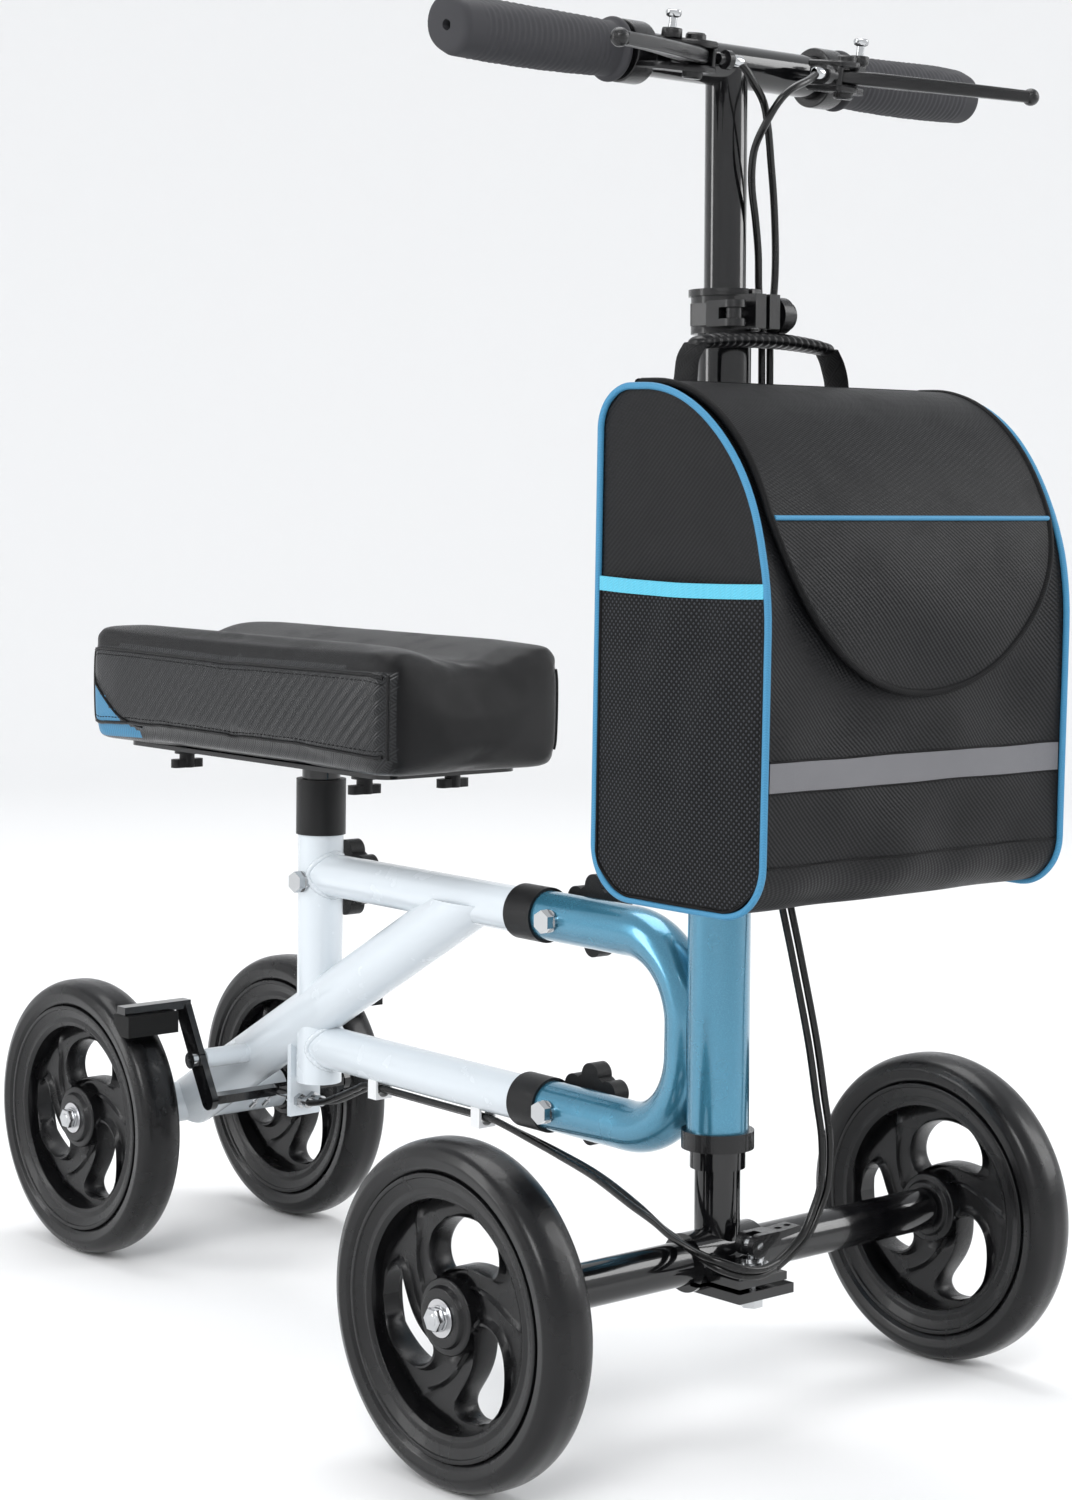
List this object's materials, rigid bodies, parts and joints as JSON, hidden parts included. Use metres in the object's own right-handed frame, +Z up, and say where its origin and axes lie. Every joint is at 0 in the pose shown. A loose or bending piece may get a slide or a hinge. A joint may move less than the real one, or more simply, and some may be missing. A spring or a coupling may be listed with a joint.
{
  "type": "knee scooter",
  "caption": "Steerable knee walker with a padded knee rest, folding height-adjustable handlebar column, hand brakes, a front bag and large wheels.",
  "frame": {"origin": "on the floor, under the centre of the bounding box", "axes": "+Z up, -Y towards the front wheels (the way it rolls), +X towards the rider's left"},
  "size_m": [0.446, 0.817, 0.8326],
  "materials": {
    "frame_paint": "gloss",
    "front_paint": "metallic gloss",
    "black_paint": "gloss",
    "black_cast": "satin black",
    "plastic": "satin",
    "white_plastic": "satin",
    "steel": "bright",
    "bearing_steel": "satin",
    "pin_chrome": "bright",
    "cable_black": "satin",
    "grip_rubber": "matte",
    "pad_rubber": "matte",
    "pad_cover": "black vinyl",
    "bag_fabric": "black twill",
    "tyre": "glossy",
    "rim": "gloss"
  },
  "bodies": {
    "frame": {"seat_tube": "frame_paint", "top_arm": "frame_paint", "lower_arm": "frame_paint", "diagonal_tube": "frame_paint", "rear_axle_tube": "frame_paint", "brake_cross_tube": "frame_paint", "bent_tube": "front_paint", "head_tube": "front_paint", "cable_bracket": "frame_paint", "tube_collars": "plastic", "frame_bolts": "steel", "rear_axle_bolts": "steel", "rear_wheel_bearings": "bearing_steel", "headset": "black_cast", "cable_clips": "white_plastic", "cable_adjusters": "steel", "rear_cables": "cable_black"},
    "seat_knob": {"seat_knob": "plastic"},
    "upper_frame_knob": {"upper_frame_knob": "plastic"},
    "lower_frame_knob": {"lower_frame_knob": "plastic"},
    "seat": {"seat_post": "black_paint", "knee_pad": "pad_cover", "pad_knobs": "plastic"},
    "steering": {"steerer": "black_paint", "front_axle_tube": "black_paint", "front_axle_bolts": "steel", "front_wheel_bearings": "bearing_steel", "saddle_skewer": "steel", "hinge_base": "black_paint", "hinge_pin": "steel", "steering_cables": "cable_black", "loop_cables": "cable_black"},
    "saddle_lever": {"saddle_lever": "black_cast"},
    "fold_lock_lever": {"fold_lock_lever": "black_cast"},
    "column": {"column_tube": "black_paint", "height_clamp": "black_cast", "height_skewer": "black_cast", "bag_body": "bag_fabric", "bag_webbing": "bag_fabric"},
    "height_lever": {"height_lever": "black_cast"},
    "bag_flap": {"bag_flap": "bag_fabric"},
    "post": {"handlebar": "black_paint", "grips": "grip_rubber", "lever_bodies": "black_cast", "bar_cables": "cable_black"},
    "left_brake_lever": {"lever_blade_left": "black_cast"},
    "right_brake_lever": {"lever_blade_right": "black_cast"},
    "left_parking_pin": {"parking_pin_left": "pin_chrome"},
    "right_parking_pin": {"parking_pin_right": "pin_chrome"},
    "brake": {"brake_bar": "black_paint", "brake_pads": "pad_rubber", "brake_wires": "steel"},
    "front_left_wheel": {"tyre_front_left": "tyre", "rim_front_left": "rim"},
    "front_right_wheel": {"tyre_front_right": "tyre", "rim_front_right": "rim"},
    "rear_left_wheel": {"tyre_rear_left": "tyre", "rim_rear_left": "rim"},
    "rear_right_wheel": {"tyre_rear_right": "tyre", "rim_rear_right": "rim"}
  },
  "joints": [
    {"name": "steering_turn", "type": "hinge", "parent": "frame", "child": "steering", "pos_m": [0, -0.2515, 0.1], "axis": [0, 0.0175, 0.9998], "range_deg": [-40, 40], "deforming": ["steering_cables"]},
    {"name": "column_fold", "type": "hinge", "parent": "steering", "child": "column", "pos_m": [0, -0.24653, 0.38496], "axis": [-1, 0, 0], "range_deg": [0, 44], "deforming": ["loop_cables"]},
    {"name": "handlebar_rise", "type": "slide", "parent": "column", "child": "post", "axis": [0, 0.0175, 0.9998], "range_m": [0, 0.18], "deforming": ["bar_cables"]},
    {"name": "seat_rise", "type": "slide", "parent": "frame", "child": "seat", "axis": [0, 0, 1], "range_m": [0, 0.1]},
    {"name": "seat_knob_turn", "type": "hinge", "parent": "frame", "child": "seat_knob", "pos_m": [0.0163, 0.1525, 0.284], "axis": [1, 0, 0], "continuous": true},
    {"name": "upper_knob_turn", "type": "hinge", "parent": "frame", "child": "upper_frame_knob", "pos_m": [0.0163, -0.1105, 0.289], "axis": [1, 0, 0], "continuous": true},
    {"name": "lower_knob_turn", "type": "hinge", "parent": "frame", "child": "lower_frame_knob", "pos_m": [0.0163, -0.1105, 0.166], "axis": [1, 0, 0], "continuous": true},
    {"name": "saddle_lever_turn", "type": "hinge", "parent": "steering", "child": "saddle_lever", "pos_m": [0, -0.28128, 0.11302], "axis": [0, -0.9998, 0.0175], "range_deg": [0, 90]},
    {"name": "fold_lever_turn", "type": "hinge", "parent": "steering", "child": "fold_lock_lever", "pos_m": [-0.03, -0.24653, 0.38496], "axis": [0, 0.9998, -0.0175], "range_deg": [0, 90]},
    {"name": "height_lever_turn", "type": "hinge", "parent": "column", "child": "height_lever", "pos_m": [-0.019, -0.26863, 0.66599], "axis": [0, 0.0175, 0.9998], "range_deg": [0, 100]},
    {"name": "bag_flap_lift", "type": "hinge", "parent": "column", "child": "bag_flap", "pos_m": [0, -0.2905, 0.62275], "axis": [-1, 0, 0], "range_deg": [0, 70]},
    {"name": "left_lever_squeeze", "type": "hinge", "parent": "post", "child": "left_brake_lever", "pos_m": [0.062, -0.27583, 0.80781], "axis": [0, -0.1132, 0.9936], "range_deg": [0, 22], "stiffness_Nm_per_rad": 2, "springref_deg": -8.59},
    {"name": "right_lever_squeeze", "type": "hinge", "parent": "post", "child": "right_brake_lever", "pos_m": [-0.062, -0.27583, 0.80781], "axis": [0, 0.1132, -0.9936], "range_deg": [0, 22], "stiffness_Nm_per_rad": 2, "springref_deg": -8.59},
    {"name": "left_pin_press", "type": "slide", "parent": "post", "child": "left_parking_pin", "axis": [0, 0.1132, -0.9936], "range_m": [0, 0.004], "stiffness_N_per_m": 500, "springref_m": -0.002},
    {"name": "right_pin_press", "type": "slide", "parent": "post", "child": "right_parking_pin", "axis": [0, 0.1132, -0.9936], "range_m": [0, 0.004], "stiffness_N_per_m": 500, "springref_m": -0.002},
    {"name": "brake_swing", "type": "hinge", "parent": "frame", "child": "brake", "pos_m": [0, 0.2175, 0.152], "axis": [-1, 0, 0], "range_deg": [0, 4], "deforming": ["brake_wires"]},
    {"name": "front_left_spin", "type": "hinge", "parent": "steering", "child": "front_left_wheel", "pos_m": [0.202, -0.2515, 0.1], "axis": [1, 0, 0], "continuous": true},
    {"name": "front_right_spin", "type": "hinge", "parent": "steering", "child": "front_right_wheel", "pos_m": [-0.202, -0.2515, 0.1], "axis": [1, 0, 0], "continuous": true},
    {"name": "rear_left_spin", "type": "hinge", "parent": "frame", "child": "rear_left_wheel", "pos_m": [0.092, 0.3085, 0.1], "axis": [1, 0, 0], "continuous": true},
    {"name": "rear_right_spin", "type": "hinge", "parent": "frame", "child": "rear_right_wheel", "pos_m": [-0.092, 0.3085, 0.1], "axis": [1, 0, 0], "continuous": true}
  ],
  "couplings": [
    {"joint": "brake_swing", "follows": "right_lever_squeeze", "ratio": 0.18}
  ]
}
